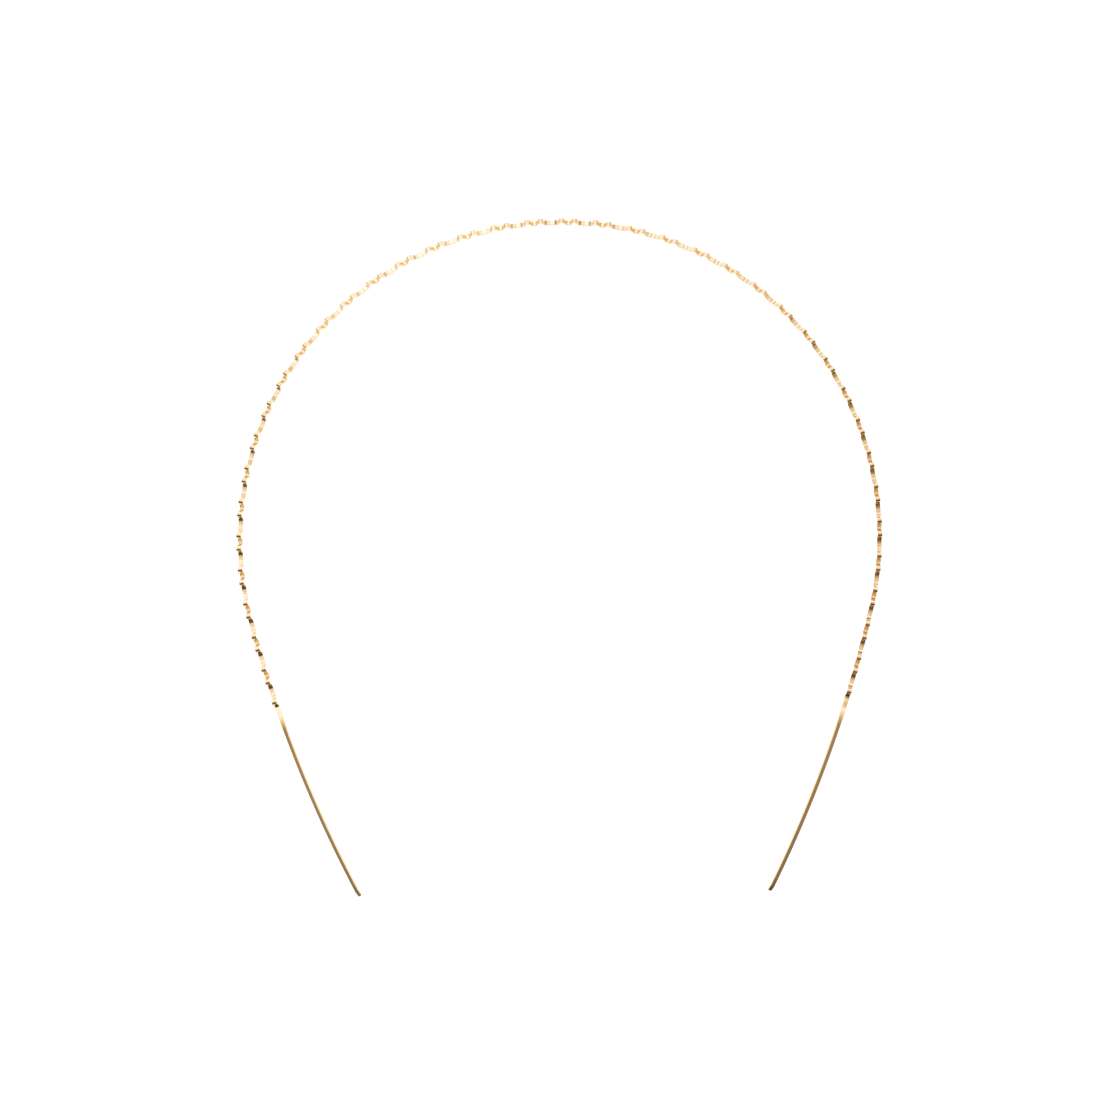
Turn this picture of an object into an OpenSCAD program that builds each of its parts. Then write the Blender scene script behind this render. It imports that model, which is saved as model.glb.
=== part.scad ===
// Wavy metal headband: one thin flat strip of spring metal, crimped into a row of
// double bumps and bent into a horseshoe arch with plain ends.
// It lies on its side: the arch is in the XY plane with its crown towards +Y and its open
// ends towards -Y, the flats and the outer edges of the plain ends rest on z = 0, the bumps
// stand up.

/* [Arch] */
// Radius of the strip's centre line over the crown
crown_r = 70.7; // [60:0.1:80]
// Angle that each half of the crown turns through, in degrees
crown_turn = 30.6; // [25:0.1:35]
// Radius of the centre line down each side of the head
side_r = 68.6; // [60:0.1:80]
// Angle that each side turns through, in degrees
side_turn = 73.9; // [68:0.1:80]
// Radius of the centre line along each end
end_r = 280.6; // [200:0.1:400]
// Angle that each end turns through, in degrees
end_turn = 13.2; // [11:0.1:16]

/* [Wave] */
// Number of double bumps from side to side, a single bump beyond each end of the row
pairs = 38; // [20:2:38]
// Distance from one double bump to the next, along the arch
pitch = 7.5; // [7.2:0.05:7.6]
// Height of the bumps over the flats, centre line to centre line
rise = 2.1; // [1.5:0.05:3]
// Length of the short flat between the two bumps of a pair
dip_l = 1.05; // [0.9:0.01:1.2]
// Length of a bump's top
top_l = 0.82; // [0.75:0.01:0.9]
// How far a leg leans between the short flat and a bump
inner_lean = 0.55; // [0.2:0.01:0.7]
// How far a leg leans between a bump and the long flat
outer_lean = 0.2; // [0.1:0.01:0.4]
// Radius of every bend, at the strip's centre line
bend_r = 0.3; // [0.25:0.01:0.32]

/* [Strip] */
// Width of the strip, across the arch's radius
strip_w = 1; // [0.8:0.05:1.2]
// Thickness of the strip
strip_t = 0.4; // [0.3:0.02:0.42]
// Width of the eased part of each edge
edge_w = 0.06; // [0.03:0.01:0.2]
// How far each plain end is rolled over, its inner edge up, in degrees
end_roll = 38; // [0:1:45]
// Length over which a plain end turns to its roll
roll_run = 5; // [3:0.5:12]
// Length over which each cut end is rounded off
nose_l = 0.2; // [0.1:0.05:0.4]
// How far a cut end is drawn in, as a part of the strip's size
nose_in = 0.2; // [0.1:0.05:0.5]

/* [Hidden] */

// Chords to each bend of the wave, steps over each plain end's roll and along the rest of it
bend_steps = 2;
roll_steps = 5;
end_steps = 5;

// The arch from the crown to a tip: a row for each arc, with its radius and its turn
RADIUS = 0;
TURN = 1;
ARCS = [
    [crown_r, crown_turn],
    [side_r, side_turn],
    [end_r, end_turn],
];

function arc_length(arc) = arc[RADIUS] * arc[TURN] * PI / 180;
half_l = arc_length(ARCS[0]) + arc_length(ARCS[1]) + arc_length(ARCS[2]);

// Place and heading at distance s from the crown along the right half: [x, y, degrees]
function along_arch(s, i = 0, at = [0, 0], heading = 0) =
    let (
        last = i == len(ARCS) - 1,
        used = last ? s : min(s, arc_length(ARCS[i])),
        r = ARCS[i][RADIUS],
        to = heading + used / r * 180 / PI,
        next = at + r * [sin(to) - sin(heading), cos(to) - cos(heading)]
    )
    last || used >= s ? [next.x, next.y, to] : along_arch(s - used, i + 1, next, to);

// Wraps a point onto the arch: u runs along it, v stands up, w is outwards from it
function wrap(u, v, w) =
    let (side = u < 0 ? -1 : 1, p = along_arch(abs(u)))
    [side * (p.x + w * sin(p[2])), p.y + w * cos(p[2]), v];

// One bump in [u, v], outwards from the middle of its pair
BUMP_FOOT = dip_l / 2;
BUMP = [
    [BUMP_FOOT, 0],
    [BUMP_FOOT + inner_lean, rise],
    [BUMP_FOOT + inner_lean + top_l, rise],
    [BUMP_FOOT + inner_lean + top_l + outer_lean, 0],
];

function right_bump(u) = [for (p = BUMP) [u + p.x, p.y]];
function left_bump(u) = [for (i = [len(BUMP) - 1:-1:0]) [u - BUMP[i].x, BUMP[i].y]];

// Corners of the unrolled centre line, from the left tip to the right one
end_pair = (pairs + 1) / 2 * pitch;
CORNERS = [
    [-half_l, 0],
    each right_bump(-end_pair),
    for (k = [0:pairs - 1], u = [(k - (pairs - 1) / 2) * pitch]) each concat(left_bump(u), right_bump(u)),
    each left_bump(end_pair),
    [half_l, 0],
];

function heading_to(a, b) = atan2(b.y - a.y, b.x - a.x);

// Stations round the bend at a corner: [u, v, heading of the centre line]
function bend(before, corner, after) =
    let (
        from = heading_to(before, corner),
        to = heading_to(corner, after),
        r = bend_r * sign(to - from),
        start = corner - r * tan((to - from) / 2) * [cos(from), sin(from)]
    )
    [for (i = [0:bend_steps], h = [from + (to - from) * i / bend_steps])
        [start.x + r * (sin(h) - sin(from)), start.y - r * (cos(h) - cos(from)), h]];

// Section of the flattened wire as [w, t]: flat faces, with edges eased to a blunt ridge
SECTION = [
    [strip_w / 2, 0],
    [strip_w / 2 - edge_w, strip_t / 2],
    [edge_w - strip_w / 2, strip_t / 2],
    [-strip_w / 2, 0],
    [edge_w - strip_w / 2, -strip_t / 2],
    [strip_w / 2 - edge_w, -strip_t / 2],
];

// Roll of the strip at distance u from the crown: none until past the last bend
FOOT = abs(CORNERS[1].x);
function roll_at(u) = end_roll * min(1, max(0, abs(u) - FOOT - bend_r) / roll_run);
function rolled(p, a) = [p.x * cos(a) + p.y * sin(a), p.y * cos(a) - p.x * sin(a)];

// The section rolled, lifted so that it lies on z = 0 where v is 0, set across a station and
// wrapped onto the arch
function ring(station, size = 1) =
    let (
        roll = roll_at(station.x),
        lift = -min([for (p = SECTION) rolled(p, roll).y])
    )
    [for (p = SECTION) let (q = rolled(p * size, roll))
        wrap(station.x - q.y * sin(station[2]), station.y + q.y * cos(station[2]) + lift, q.x)];

// Stations along a plain end, as distances from its tip
rolled_l = half_l - FOOT - bend_r - roll_run;
END = [
    nose_l,
    for (i = [1:end_steps - 1]) rolled_l * i / end_steps,
    for (i = [0:roll_steps]) rolled_l + roll_run * i / roll_steps,
];

LAST = len(CORNERS) - 1;
RINGS = [
    ring([-half_l, 0, 0], 1 - nose_in),
    for (d = END) ring([d - half_l, 0, 0]),
    for (i = [1:LAST - 1], s = bend(CORNERS[i - 1], CORNERS[i], CORNERS[i + 1])) ring(s),
    for (i = [len(END) - 1:-1:0]) ring([half_l - END[i], 0, 0]),
    ring([half_l, 0, 0], 1 - nose_in),
];

// The origin is under the middle of the box round the band
POINTS = [for (r = RINGS) each r];
mid_y = (max([for (p = POINTS) p.y]) + min([for (p = POINTS) p.y])) / 2;

module band() {
    n = len(SECTION);
    rings = len(RINGS);
    color("goldenrod")
        translate([0, -mid_y, 0])
            polyhedron(
                points = POINTS,
                faces = [
                    [for (j = [0:n - 1]) j],
                    for (i = [0:rings - 2], j = [0:n - 1], k = [(j + 1) % n])
                        [i * n + j, (i + 1) * n + j, (i + 1) * n + k, i * n + k],
                    [for (j = [n - 1:-1:0]) (rings - 1) * n + j],
                ]
            );
}

band();
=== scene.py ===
import math

import bmesh
import bpy
from mathutils import Matrix, Vector


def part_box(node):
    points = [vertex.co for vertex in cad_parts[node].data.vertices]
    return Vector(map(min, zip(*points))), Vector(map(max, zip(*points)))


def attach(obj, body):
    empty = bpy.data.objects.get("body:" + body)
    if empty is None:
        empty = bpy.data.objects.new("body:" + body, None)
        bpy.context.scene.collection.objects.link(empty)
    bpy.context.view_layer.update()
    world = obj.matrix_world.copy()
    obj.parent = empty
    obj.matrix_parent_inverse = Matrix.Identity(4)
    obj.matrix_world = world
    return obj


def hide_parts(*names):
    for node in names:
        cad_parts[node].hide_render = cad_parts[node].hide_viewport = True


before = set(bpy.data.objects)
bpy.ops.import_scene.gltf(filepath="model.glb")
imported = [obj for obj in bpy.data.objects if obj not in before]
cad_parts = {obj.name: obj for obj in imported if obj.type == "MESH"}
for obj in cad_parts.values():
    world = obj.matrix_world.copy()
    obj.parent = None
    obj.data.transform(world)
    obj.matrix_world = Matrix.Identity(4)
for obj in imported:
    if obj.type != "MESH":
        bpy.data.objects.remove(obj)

bl_info = {
    "name": "Wavy Gold Headband",
    "version": (1, 0, 0),
    "blender": (4, 5, 0),
    "location": "View3D > Sidebar > Headband",
    "description": "Models a crimped gold-plated headband lying in a white studio",
    "category": "Add Mesh",
}

MM = 0.001
# Points nearer to each other than this, in metres, are one
NEAR = 1e-6
CROWN_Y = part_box("band")[1].y

# Chords to each fold and to each rolled edge, and how sharp an edge has to be to be rolled
FOLD_SEGMENTS = 5
EDGE_SEGMENTS = 4
SHARP_EDGE = math.radians(50)
# Steps along a plain end, over its roll and along each piece of the arch's guide
END_STEPS = 24
ROLL_STEPS = 5
GUIDE_STEPS = 64
# Stations along half of a long flat, as shares of that half, away from the flat's middle or back to it
FROM_MIDDLE = (0, 0.2, 0.4, 0.5, 0.6, 0.8)
TO_MIDDLE = (0.8, 0.6, 0.4, 0.2, 0)
# Stations along a tip's ground part, as shares of its length, and how far past one its edges are sought
TAPER_SHARES = (0.1, 0.5)
TAPER_MARGIN = 0.05

# The range of the buffing noise that shows, and the shares of the roughness at its two ends
BUFF_RANGE = (0.3, 0.7)
BUFF_SHARES = (0.7, 1.4)
# How strongly the faint waves left by the rolls bend reflections
ROLL_STRENGTH = 0.4

# Ranges of a ray's direction over which the room's light changes: of its Y from the dark front to the
# dim walls and from those to the lit far wall, and of its Z from the walls to the ceiling
FRONT_TO_DIM = (-0.7, -0.36)
DIM_TO_LIT = (0.1, 0.5)
WALL_TO_CEILING = (0.25, 0.78)
# Ranges over which the dim walls' own tint gives way: of Y to the far wall's, of Z to the ceiling's
LIT_TINT = (0.1, 0.4)
CEILING_TINT = (0.25, 0.5)
# The way towards the dark place where the camera is worked, and the range over which a ray's share
# of that way turns its light dark
FRONT_WAY = (0.0, -0.79, 0.61)
FRONT_EDGE = (0.68, 0.79)
# A ray's rise counts as at least this much where its run across is divided by it
LEAST_RISE = 0.05
# Darker and brighter patches of the ceiling, such as the camera, its arm, corners and a window:
# middle and spread as runs across over rise, and how much each adds to the light
PATCHES = (
    ((0.15, -0.13), (0.10, 0.10), -0.85),
    ((0.065, 0.15), (0.035, 0.07), -0.55),
    ((0.60, -0.15), (0.15, 0.15), -0.45),
    ((0.35, 0.21), (0.08, 0.07), -1.1),
    ((0.26, 0.42), (0.06, 0.06), -1.6),
    ((-0.41, 0.24), (0.08, 0.045), -1.0),
    ((-0.02, 0.42), (0.13, 0.05), -0.5),
    ((0.00, 0.60), (0.10, 0.06), -0.4),
    ((-0.12, 0.28), (0.05, 0.035), -0.55),
    ((-0.19, 0.12), (0.03, 0.04), -0.35),
    ((-0.22, -0.06), (0.05, 0.06), -0.45),
    ((-0.06, 0.20), (0.12, 0.04), 0.25),
    ((-0.36, 0.05), (0.07, 0.08), 0.2),
)
# Spreads from a patch's middle to where it has faded out
PATCH_REACH = 2.5
# Tint of the ceiling and of the lit wall by the light's strength, warm where dim and cool where
# bright, and the one tint of the dim walls
TINTS = (
    (0.3, (1.12, 0.74, 0.42)),
    (0.55, (1.10, 0.90, 0.72)),
    (0.85, (1.06, 0.93, 0.84)),
    (1.2, (1.00, 1.18, 1.70)),
)
WALL_TINT = (1.10, 0.89, 0.71)

# The camera's place, what it looks at, which way is up in its picture, its sensor's width in
# millimetres and the nearest that it sees in metres
CAMERA_PLACE = Vector((30.39, -32.28, 500.6)) * MM
CAMERA_AIM = Vector((0.51, -1.27, 0.2)) * MM
CAMERA_UP = Vector((0.01858, 0.99983, 0))
SENSOR_WIDTH = 36
NEAREST_SEEN = 0.01


def linear(hex_colour):
    """Linear red, green and blue of an sRGB hex colour such as "#E0B050"."""
    parts = [int(hex_colour[i : i + 2], 16) / 255 for i in (1, 3, 5)]
    return tuple(p / 12.92 if p <= 0.04045 else ((p + 0.055) / 1.055) ** 2.4 for p in parts)


def length(name, description, millimetres):
    """A length property whose default is given in millimetres."""
    return bpy.props.FloatProperty(
        name=name, description=description, default=millimetres * MM, min=0.0, precision=5, unit="LENGTH"
    )


def angle(name, description, degrees):
    """An angle property whose default is given in degrees."""
    return bpy.props.FloatProperty(
        name=name, description=description, default=math.radians(degrees), min=0.0, subtype="ANGLE"
    )


def surface_colour(name, description, hex_colour):
    """A colour property whose default is given as an sRGB hex colour."""
    return bpy.props.FloatVectorProperty(
        name=name, description=description, default=linear(hex_colour), size=3, min=0, max=1, subtype="COLOR"
    )


def light_strength(name, description, default):
    """A property for the strength of a light."""
    return bpy.props.FloatProperty(name=name, description=description, default=default, min=0)


class BandSizes(bpy.types.PropertyGroup):
    """Sizes of the strip, its wave and its arch"""

    crown_radius: length("Crown radius", "Radius of the centre line over the crown", 70.7)
    crown_turn: angle("Crown turn", "Angle that each half of the crown turns through", 30.6)
    side_radius: length("Side radius", "Radius of the centre line down each side", 68.6)
    side_turn: angle("Side turn", "Angle that each side turns through", 73.9)
    end_radius: length("End radius", "Radius of the centre line along each end", 280.6)
    end_turn: angle("End turn", "Angle that each end turns through", 13.2)
    pairs: bpy.props.IntProperty(
        name="Double bumps", description="Number of double bumps along the band", default=38, min=2
    )
    pitch: length("Pitch", "Distance from one double bump to the next", 7.5)
    rise: length("Rise", "Height of the bumps over the flats, centre line to centre line", 2.1)
    dip: length("Dip", "Length of the short flat between two bumps", 1.05)
    top: length("Top", "Length of a bump's top", 0.82)
    inner_lean: length("Inner lean", "How far a leg leans on the side of the short flat", 0.55)
    outer_lean: length("Outer lean", "How far a leg leans on the side of the long flat", 0.2)
    top_radius: length("Top radius", "Radius of the bends on top of a bump", 0.35)
    dip_radius: length("Dip radius", "Radius of the bends at the foot of a dip", 0.35)
    foot_radius: length("Foot radius", "Radius of the bend where a long flat meets its leg", 0.25)
    low_place: length("Low place", "How far to the right of its middle a long flat is lowest", 0.15)
    left_curl: length("Left curl", "How far the left end of a long flat stands up", 0.2)
    right_curl: length("Right curl", "How far the right end of a long flat stands up", 0.22)
    width: length("Width", "Width of the strip across the arch", 1.0)
    thickness: length("Thickness", "Thickness of the strip", 0.4)
    edge: length("Edge", "Radius of the strip's rolled edges", 0.025)
    rim: length("Rim", "Width of the rim down each side, its rolled edge included", 0.04)
    end_roll: angle("End roll", "How far a plain end is rolled over, its inner edge up", 38)
    roll_run: length("Roll run", "Length over which a plain end turns to its roll", 5)
    tip_taper: length("Tip taper", "Length over which each tip is ground down", 1.3)
    tip_drop: length("Tip drop", "How much of the upper face is ground off at a tip", 0.25)


class GoldFinish(bpy.types.PropertyGroup):
    """Colour and polish of the plating"""

    colour: surface_colour("Gold", "Colour of the plating", "#F9DFAE")
    deep_colour: surface_colour("Deep gold", "Colour where the plating is thickest", "#F7DAA5")
    tone_patch: length("Tone patch", "Width of the patches of deeper tone", 6)
    roughness: bpy.props.FloatProperty(
        name="Roughness", description="Roughness of the polished plating", default=0.1, min=0, max=1,
        subtype="FACTOR",
    )
    roll_mark: length("Roll mark", "Spacing of the faint waves left by the rolls", 1.2)
    roll_depth: length("Roll depth", "Depth of the faint waves left by the rolls", 0.02)
    buff_grain: length("Buffing grain", "Width of the finest buffing marks", 0.12)


class StudioSettings(bpy.types.PropertyGroup):
    """The white table, the room's light and the camera"""

    floor_colour: surface_colour("Table", "Colour of the table", "#BCBCBC")
    floor_side: length("Table side", "Side of the square table", 6000)
    glow: light_strength("Table glow", "Strength of the light through the table", 0.78)
    backdrop: light_strength("Backdrop", "Strength of the white that the camera sees past the table", 0.9)
    daylight: light_strength("Daylight", "Strength of the light at its brightest", 1.3)
    far_wall: light_strength("Far wall", "Strength of the light from the lit wall past the crown", 1.15)
    room: light_strength("Room light", "Strength of the light from the room's ceiling", 1.12)
    horizon: light_strength("Horizon", "Strength of the light from the room's dim walls", 0.32)
    front: light_strength("Front", "Strength of the light from where the camera is worked", 0.1)
    shade: light_strength("Shade", "Strength of the light at its dimmest", 0.05)
    focal_length: bpy.props.FloatProperty(
        name="Focal length", description="Lens of the camera, in millimetres", default=74.2, min=1
    )


def only(ob):
    """Selects one object and makes it active."""
    bpy.ops.object.select_all(action="DESELECT")
    ob.select_set(True)
    bpy.context.view_layer.objects.active = ob


def select_edges(ob, test):
    """In edit mode, selects the edges whose two ends pass the test, and returns how many."""
    bpy.ops.mesh.select_mode(type="EDGE")
    bpy.ops.mesh.select_all(action="DESELECT")
    mesh = bmesh.from_edit_mesh(ob.data)
    found = [e for e in mesh.edges if test(*(v.co for v in e.verts))]
    for edge in found:
        edge.select_set(True)
    bmesh.update_edit_mesh(ob.data)
    return len(found)


def turn_outwards():
    """In edit mode, makes all normals point outwards."""
    bpy.ops.mesh.select_all(action="SELECT")
    bpy.ops.mesh.normals_make_consistent(inside=False)


def apply_modifier(ob, kind, **settings):
    """Adds a modifier with its settings and applies it."""
    only(ob)
    modifier = ob.modifiers.new(kind.title(), kind)
    for key, value in settings.items():
        setattr(modifier, key, value)
    bpy.ops.object.modifier_apply(modifier=modifier.name)


def ribbon(name, stations, width):
    """A flat ribbon along X, extruded edge by edge through the stations, each an (x, z)."""
    (x0, z0), (x1, z1) = stations[:2]
    middle = (x0 + x1) / 2
    bpy.ops.object.select_all(action="DESELECT")
    bpy.ops.mesh.primitive_plane_add(size=1, location=(middle, 0, z0))
    ob = bpy.context.object
    ob.name = ob.data.name = name
    ob.scale = (x1 - x0, width, 1)
    bpy.ops.object.transform_apply(location=True, rotation=True, scale=True)
    bpy.ops.object.mode_set(mode="EDIT")
    select_edges(ob, lambda a, b: min(a.x, b.x) > middle)
    bpy.ops.transform.translate(value=(0, 0, z1 - z0))
    for (xa, za), (xb, zb) in zip(stations[1:], stations[2:]):
        bpy.ops.mesh.extrude_region_move(TRANSFORM_OT_translate={"value": (xb - xa, 0, zb - za)})
    bpy.ops.object.mode_set(mode="OBJECT")
    return ob


def round_folds(ob, folds):
    """Rounds the folds across a ribbon: each is (x, z, distance from the fold to where its bend starts)."""
    bpy.ops.object.mode_set(mode="EDIT")
    for reach in sorted({round(r, 9) for x, z, r in folds}):
        places = [(x, z) for x, z, r in folds if round(r, 9) == reach]
        count = select_edges(
            ob,
            lambda a, b: abs(a.x - b.x) < NEAR
            and abs(a.z - b.z) < NEAR
            and any(abs(a.x - x) < NEAR and abs(a.z - z) < NEAR for x, z in places),
        )
        if count != len(places):
            raise RuntimeError(f"{ob.name}: {count} folds found for {len(places)} places")
        bpy.ops.mesh.bevel(offset_type="OFFSET", offset=reach, segments=FOLD_SEGMENTS, affect="EDGES")
    bpy.ops.object.mode_set(mode="OBJECT")


class HEADBAND_OT_strip(bpy.types.Operator):
    """Model the crimped strip and bend it into the arch"""

    bl_idname = "headband.strip"
    bl_label = "Strip"

    def bump(self, s):
        """One bump's folds outwards from the middle of its pair: x, z and the reach of the bend."""
        x1 = s.dip / 2
        x2 = x1 + s.inner_lean
        x3 = x2 + s.top
        x4 = x3 + s.outer_lean
        low = s.thickness / 2
        high = low + s.rise
        inner = math.tan(math.atan2(s.rise, s.inner_lean) / 2)
        outer = math.tan(math.atan2(s.rise, s.outer_lean) / 2)
        return [
            (x1, low, s.dip_radius * inner),
            (x2, high, s.top_radius * inner),
            (x3, high, s.top_radius * outer),
            (x4, low, s.foot_radius * outer),
        ]

    def half_flat(self, s):
        """Half of a long flat's length."""
        return s.pitch / 2 - self.bump(s)[-1][0]

    def flat_height(self, s, u):
        """Height of a long flat's centre line at u from its middle."""
        half = self.half_flat(s)
        if u < s.low_place:
            curl = s.left_curl * ((s.low_place - u) / (s.low_place + half)) ** 2
        else:
            curl = s.right_curl * ((u - s.low_place) / (half - s.low_place)) ** 2
        return s.thickness / 2 + curl

    def flat(self, s, middle, side, shares):
        """Stations along the left half (side -1) or the right half (1) of a long flat."""
        half = self.half_flat(s)
        return [(middle + side * half * f, self.flat_height(s, side * half * f)) for f in shares]

    def pair(self, s, at):
        """One double bump, from the middle of one long flat to the middle of the next."""
        half = self.half_flat(s)
        bump = self.bump(s)
        folds = [(at - x, z, r) for x, z, r in reversed(bump)] + [(at + x, z, r) for x, z, r in bump]
        first, last = folds[0], folds[-1]
        folds[0] = (first[0], self.flat_height(s, half), first[2])
        folds[-1] = (last[0], self.flat_height(s, -half), last[2])
        before = self.flat(s, at - s.pitch / 2, 1, FROM_MIDDLE)
        after = self.flat(s, at + s.pitch / 2, -1, TO_MIDDLE)
        ob = ribbon("Pair", before + [(x, z) for x, z, r in folds] + after, s.width - 2 * s.rim)
        round_folds(ob, folds)
        return ob

    def end(self, s, side, tip, at):
        """One plain end with its single bump, from the tip to the next long flat's middle."""
        folds = [(at + side * x, z, r) for x, z, r in self.bump(s)]
        foot, last = folds[0][0], folds[-1]
        folds[-1] = (last[0], self.flat_height(s, -side * self.half_flat(s)), last[2])
        start = tip + side * s.tip_taper
        plain = [tip + side * f * s.tip_taper for f in (0, *TAPER_SHARES)]
        plain += [start + (foot - start) * i / END_STEPS for i in range(END_STEPS)]
        rest = self.flat(s, at + side * s.pitch / 2, -side, TO_MIDDLE)
        stations = [(x, s.thickness / 2) for x in plain] + [(x, z) for x, z, r in folds] + rest
        if side < 0:
            stations.reverse()
        ob = ribbon("End", stations, s.width - 2 * s.rim)
        round_folds(ob, folds)
        return ob

    def add_rims(self, ob, s):
        """Adds a narrow rim down each side, so that the wide faces look flat up to their edges."""
        for side in (1, -1):
            select_edges(ob, lambda a, b: min(side * a.y, side * b.y) > 0)
            bpy.ops.mesh.extrude_region_move(TRANSFORM_OT_translate={"value": (0, side * s.rim, 0)})

    def roll_ends(self, ob, s, foot, full):
        """Rolls both plain ends over, a little at a time, and keeps their outer edges on the table."""
        rolls = [s.end_roll * i / ROLL_STEPS for i in range(ROLL_STEPS + 1)]
        across, up = s.width / 2 - s.edge, s.thickness / 2 - s.edge
        heights = [across * math.sin(roll) + up * math.cos(roll) + s.edge for roll in rolls]
        bpy.ops.object.mode_set(mode="EDIT")
        for i in range(ROLL_STEPS):
            reach = foot - s.roll_run * i / (ROLL_STEPS - 1)
            select_edges(ob, lambda a, b: all(min(v.x, full - v.x) < reach for v in (a, b)))
            bpy.ops.transform.rotate(
                value=rolls[i + 1] - rolls[i], orient_axis="X", center_override=(0, 0, heights[i])
            )
            bpy.ops.transform.translate(value=(0, 0, heights[i + 1] - heights[i]))
        bpy.ops.object.mode_set(mode="OBJECT")

    def taper_tips(self, ob, s, full):
        """Lowers the upper face towards each tip, where the cut end is ground down."""
        bpy.ops.object.mode_set(mode="EDIT")
        for share in TAPER_SHARES:
            reach = s.tip_taper * (share + TAPER_MARGIN)
            select_edges(
                ob, lambda a, b: all(v.z > s.thickness / 2 and min(v.x, full - v.x) < reach for v in (a, b))
            )
            bpy.ops.transform.translate(value=(0, 0, -s.tip_drop / len(TAPER_SHARES)))
        bpy.ops.object.mode_set(mode="OBJECT")

    def arch_guide(self, s):
        """A flat curve through the arch's arcs, from the left tip over the crown to the right tip."""
        # Radius, turn and number of curve pieces of each arc
        arcs = (
            (s.crown_radius, s.crown_turn, 2),
            (s.side_radius, s.side_turn, 4),
            (s.end_radius, s.end_turn, 2),
        )
        heading, at, right, reaches = 0.0, Vector((0, 0)), [(0.0, 0.0, 0.0)], []
        for radius, turn, pieces in arcs:
            step = turn / pieces
            for _ in range(pieces):
                to = heading + step
                at += radius * Vector((math.sin(to) - math.sin(heading), math.cos(to) - math.cos(heading)))
                right.append((at.x, at.y, to))
                # The handle length that makes a Bezier piece follow its arc
                reaches.append(radius * 4 / 3 * math.tan(step / 4))
                heading = to
        points = [(-x, y, -h) for x, y, h in reversed(right[1:])] + right
        reaches = reaches[::-1] + reaches
        bpy.ops.object.select_all(action="DESELECT")
        bpy.ops.curve.primitive_bezier_curve_add()
        guide = bpy.context.object
        guide.data.dimensions = "2D"
        guide.data.resolution_u = GUIDE_STEPS
        spline = guide.data.splines[0]
        spline.bezier_points.add(len(points) - len(spline.bezier_points))
        for i, (point, (x, y, h)) in enumerate(zip(spline.bezier_points, points)):
            here = Vector((x, y + CROWN_Y - s.width / 2, 0))
            along = Vector((math.cos(h), -math.sin(h), 0))
            point.handle_left_type = point.handle_right_type = "FREE"
            point.co = here
            point.handle_left = here - along * reaches[max(i - 1, 0)]
            point.handle_right = here + along * reaches[min(i, len(reaches) - 1)]
        return guide

    def execute(self, context):
        s = context.scene.headband_sizes
        half = s.crown_radius * s.crown_turn + s.side_radius * s.side_turn + s.end_radius * s.end_turn
        half_run = s.pairs * s.pitch / 2
        first = half - half_run - s.pitch / 2
        strip = self.pair(s, first + s.pitch)
        apply_modifier(
            strip, "ARRAY", count=s.pairs, use_relative_offset=False, use_constant_offset=True,
            constant_offset_displace=(s.pitch, 0, 0), use_merge_vertices=True, merge_threshold=NEAR,
        )
        ends = [self.end(s, 1, 0.0, first), self.end(s, -1, 2 * half, half + half_run + s.pitch / 2)]

        only(strip)
        for end in ends:
            end.select_set(True)
        bpy.ops.object.join()
        strip.name = strip.data.name = "gold_strip"
        bpy.ops.object.mode_set(mode="EDIT")
        bpy.ops.mesh.select_all(action="SELECT")
        bpy.ops.mesh.remove_doubles(threshold=NEAR)
        self.add_rims(strip, s)
        turn_outwards()
        bpy.ops.object.mode_set(mode="OBJECT")
        apply_modifier(strip, "SOLIDIFY", thickness=s.thickness, offset=0, use_even_offset=True)
        self.taper_tips(strip, s, 2 * half)
        apply_modifier(
            strip, "BEVEL", width=s.edge, segments=EDGE_SEGMENTS, limit_method="ANGLE",
            angle_limit=SHARP_EDGE, use_clamp_overlap=False,
        )
        self.roll_ends(strip, s, first, 2 * half)
        guide = self.arch_guide(s)
        apply_modifier(strip, "CURVE", object=guide, deform_axis="POS_X")
        only(guide)
        bpy.ops.object.delete()
        only(strip)
        bpy.ops.object.mode_set(mode="EDIT")
        turn_outwards()
        bpy.ops.object.mode_set(mode="OBJECT")
        bpy.ops.object.shade_smooth()
        strip.data.materials.clear()
        strip.data.materials.append(gold_plate(context.scene.headband_finish))
        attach(strip, "root")
        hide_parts("band")
        return {"FINISHED"}


def add_node(owner, kind, sockets=(), **settings):
    """Adds a node with its settings; sockets gives each input a value or another node's output."""
    node = owner.node_tree.nodes.new(kind)
    for key, value in settings.items():
        setattr(node, key, value)
    for name, value in dict(sockets).items():
        if isinstance(value, bpy.types.NodeSocket):
            owner.node_tree.links.new(value, node.inputs[name])
        else:
            node.inputs[name].default_value = value
    return node


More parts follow.
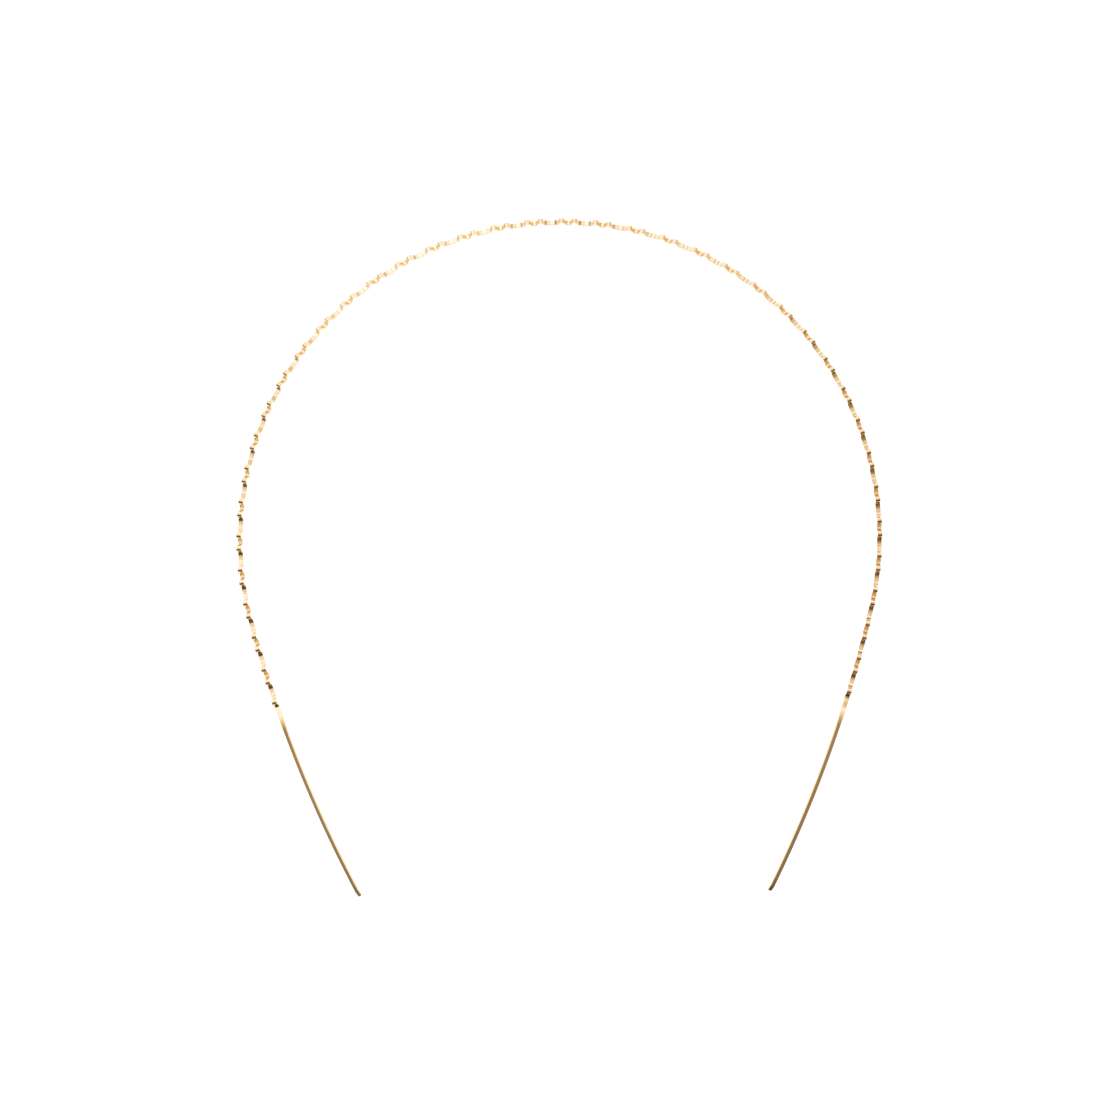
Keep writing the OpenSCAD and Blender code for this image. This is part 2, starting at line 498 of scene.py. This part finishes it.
def gold_plate(finish):
    """Gold flashed over spring steel: a mirror polish, yellow and pale, with soft roll marks."""
    material = bpy.data.materials.new("polished_gold_plate")
    material.use_nodes = True
    material.node_tree.nodes.clear()
    place = add_node(material, "ShaderNodeTexCoord").outputs["Object"]
    # The plating is a little deeper in tone here and there, over some millimetres
    patches = add_node(
        material, "ShaderNodeTexNoise", {"Vector": place, "Scale": 1 / finish.tone_patch, "Detail": 2.0}
    )
    tone = add_node(
        material, "ShaderNodeMix",
        {"Factor": patches.outputs["Fac"], 6: (*finish.colour, 1), 7: (*finish.deep_colour, 1)},
        data_type="RGBA",
    )
    # Buffing leaves the polish uneven, so highlights break up slightly
    grain = add_node(
        material, "ShaderNodeTexNoise", {"Vector": place, "Scale": 1 / finish.buff_grain, "Detail": 3.0}
    )
    rough = add_node(
        material, "ShaderNodeMapRange",
        {
            "Value": grain.outputs["Fac"],
            "From Min": BUFF_RANGE[0],
            "From Max": BUFF_RANGE[1],
            "To Min": finish.roughness * BUFF_SHARES[0],
            "To Max": finish.roughness * BUFF_SHARES[1],
        },
    )
    # Rolling the wire flat leaves long faint waves that bend reflections
    waves = add_node(
        material, "ShaderNodeTexNoise", {"Vector": place, "Scale": 1 / finish.roll_mark, "Detail": 1.0}
    )
    bump = add_node(
        material, "ShaderNodeBump",
        {"Height": waves.outputs["Fac"], "Strength": ROLL_STRENGTH, "Distance": finish.roll_depth},
    )
    shader = add_node(
        material, "ShaderNodeBsdfPrincipled",
        {
            "Base Color": tone.outputs[2],
            "Roughness": rough.outputs["Result"],
            "Normal": bump.outputs["Normal"],
            "Metallic": 1.0,
        },
    )
    add_node(material, "ShaderNodeOutputMaterial", {"Surface": shader.outputs["BSDF"]})
    return material


def table_top(s):
    """Frosted white acrylic lit from below: even, with hardly a shadow."""
    material = bpy.data.materials.new("backlit_white_acrylic")
    material.use_nodes = True
    material.node_tree.nodes.clear()
    shader = add_node(
        material, "ShaderNodeBsdfPrincipled",
        {
            "Base Color": (*s.floor_colour, 1),
            "Roughness": 0.9,
            "Specular IOR Level": 0.1,
            "Emission Color": (1, 1, 1, 1),
            "Emission Strength": s.glow,
        },
    )
    add_node(material, "ShaderNodeOutputMaterial", {"Surface": shader.outputs["BSDF"]})
    return material


def room_light(world, s, way, depth, height):
    """The strength of the room's light along a ray."""
    total = s.front
    for place, (start, stop), strength, kind in (
        (depth, FRONT_TO_DIM, s.horizon, "LINEAR"),
        (depth, DIM_TO_LIT, s.far_wall, "LINEAR"),
        (height, WALL_TO_CEILING, s.room, "SMOOTHSTEP"),
    ):
        total = add_node(
            world, "ShaderNodeMapRange",
            {"Value": place, "From Min": start, "From Max": stop, "To Min": total, "To Max": strength},
            interpolation_type=kind,
        ).outputs["Result"]
    rise = add_node(world, "ShaderNodeMath", {0: height, 1: LEAST_RISE}, operation="MAXIMUM")
    scale = add_node(world, "ShaderNodeMath", {0: 1.0, 1: rise.outputs[0]}, operation="DIVIDE")
    run = add_node(world, "ShaderNodeVectorMath", {0: way, "Scale": scale.outputs[0]}, operation="SCALE")
    for middle, spread, strength in PATCHES:
        off = add_node(
            world, "ShaderNodeVectorMath", {0: run.outputs[0], 1: (*middle, 1)}, operation="SUBTRACT"
        )
        wide = add_node(
            world, "ShaderNodeVectorMath", {0: off.outputs[0], 1: (*spread, 1)}, operation="DIVIDE"
        )
        far = add_node(world, "ShaderNodeVectorMath", {0: wide.outputs[0]}, operation="LENGTH")
        soft = add_node(
            world, "ShaderNodeMapRange",
            {
                "Value": far.outputs["Value"],
                "From Min": 0.0,
                "From Max": PATCH_REACH,
                "To Min": strength,
                "To Max": 0.0,
            },
            interpolation_type="SMOOTHSTEP",
        )
        total = add_node(
            world, "ShaderNodeMath", {0: total, 1: soft.outputs["Result"]}, operation="ADD"
        ).outputs[0]
    front = add_node(world, "ShaderNodeVectorMath", {0: way, 1: FRONT_WAY}, operation="DOT_PRODUCT")
    dark = add_node(
        world, "ShaderNodeMapRange",
        {"Value": front.outputs["Value"], "From Min": FRONT_EDGE[0], "From Max": FRONT_EDGE[1]},
        interpolation_type="SMOOTHSTEP",
    )
    mixed = add_node(world, "ShaderNodeMix", {"Factor": dark.outputs["Result"], "A": total, "B": s.front})
    low = add_node(world, "ShaderNodeMath", {0: mixed.outputs[0], 1: s.shade}, operation="MAXIMUM")
    capped = add_node(world, "ShaderNodeMath", {0: low.outputs[0], 1: s.daylight}, operation="MINIMUM")
    return capped.outputs[0]


def room_tint(world, s, light, depth, height):
    """The tint of the room's light along a ray."""
    share = add_node(world, "ShaderNodeMath", {0: light, 1: s.daylight}, operation="DIVIDE")
    ramp = add_node(world, "ShaderNodeValToRGB", {"Fac": share.outputs[0]})
    stops = ramp.color_ramp.elements
    for i, (strength, tint) in enumerate(TINTS):
        stop = stops[i] if i < len(stops) else stops.new(strength / s.daylight)
        stop.position = strength / s.daylight
        stop.color = (*tint, 1)
    over, past = [
        add_node(world, "ShaderNodeMapRange", {"Value": place, "From Min": start, "From Max": stop})
        for place, (start, stop) in ((height, CEILING_TINT), (depth, LIT_TINT))
    ]
    away = add_node(
        world, "ShaderNodeMath", {0: over.outputs["Result"], 1: past.outputs["Result"]},
        operation="MAXIMUM",
    )
    mix = add_node(
        world, "ShaderNodeMix",
        {"Factor": away.outputs[0], 6: (*WALL_TINT, 1), 7: ramp.outputs["Color"]},
        data_type="RGBA",
    )
    return mix.outputs[2]


def studio_room(s):
    """A dim warm room under soft patches of cool daylight, which polished metal shows."""
    world = bpy.data.worlds.new("Studio room")
    world.use_nodes = True
    world.node_tree.nodes.clear()
    way = add_node(world, "ShaderNodeTexCoord").outputs["Generated"]
    axes = add_node(world, "ShaderNodeSeparateXYZ", {"Vector": way}).outputs
    light = room_light(world, s, way, axes["Y"], axes["Z"])
    tint = room_tint(world, s, light, axes["Y"], axes["Z"])
    lit = add_node(world, "ShaderNodeBackground", {"Color": tint, "Strength": light})
    plain = add_node(world, "ShaderNodeBackground", {"Color": (1, 1, 1, 1), "Strength": s.backdrop})
    seen = add_node(world, "ShaderNodeLightPath").outputs["Is Camera Ray"]
    pick = add_node(world, "ShaderNodeMixShader", {0: seen, 1: lit.outputs[0], 2: plain.outputs[0]})
    add_node(world, "ShaderNodeOutputWorld", {"Surface": pick.outputs[0]})
    return world


class HEADBAND_OT_studio(bpy.types.Operator):
    """Set the white table, the room's light and the camera"""

    bl_idname = "headband.studio"
    bl_label = "Studio"

    def execute(self, context):
        s = context.scene.headband_studio
        scene = context.scene
        bpy.ops.object.select_all(action="DESELECT")
        bpy.ops.mesh.primitive_plane_add(size=s.floor_side, location=(0, 0, 0))
        table = context.object
        table.name = "white_table"
        table.data.materials.append(table_top(s))

        scene.world = studio_room(s)

        bpy.ops.object.camera_add(location=CAMERA_PLACE)
        camera = context.object
        back = (CAMERA_PLACE - CAMERA_AIM).normalized()
        side = CAMERA_UP.cross(back).normalized()
        camera.rotation_euler = Matrix((side, back.cross(side), back)).transposed().to_euler()
        camera.data.sensor_width = SENSOR_WIDTH
        camera.data.lens = s.focal_length
        camera.data.clip_start = NEAREST_SEEN
        scene.camera = camera
        scene.view_settings.view_transform = "Standard"
        return {"FINISHED"}


class HEADBAND_PT_sidebar(bpy.types.Panel):
    """Sizes, finish and studio of the headband"""

    bl_label = "Headband"
    bl_idname = "HEADBAND_PT_sidebar"
    bl_space_type = "VIEW_3D"
    bl_region_type = "UI"
    bl_category = "Headband"

    def draw(self, context):
        scene = context.scene
        for settings, operator in (
            (scene.headband_sizes, None),
            (scene.headband_finish, HEADBAND_OT_strip.bl_idname),
            (scene.headband_studio, HEADBAND_OT_studio.bl_idname),
        ):
            box = self.layout.box()
            for key in settings.__annotations__:
                box.prop(settings, key)
            if operator:
                box.operator(operator)


CLASSES = (
    BandSizes,
    GoldFinish,
    StudioSettings,
    HEADBAND_OT_strip,
    HEADBAND_OT_studio,
    HEADBAND_PT_sidebar,
)


def register():
    for cls in CLASSES:
        bpy.utils.register_class(cls)
    bpy.types.Scene.headband_sizes = bpy.props.PointerProperty(type=BandSizes)
    bpy.types.Scene.headband_finish = bpy.props.PointerProperty(type=GoldFinish)
    bpy.types.Scene.headband_studio = bpy.props.PointerProperty(type=StudioSettings)


def unregister():
    del bpy.types.Scene.headband_studio
    del bpy.types.Scene.headband_finish
    del bpy.types.Scene.headband_sizes
    for cls in reversed(CLASSES):
        bpy.utils.unregister_class(cls)


def main():
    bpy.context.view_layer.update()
    register()
    bpy.ops.headband.strip()
    bpy.ops.headband.studio()


if __name__ == "__main__":
    main()
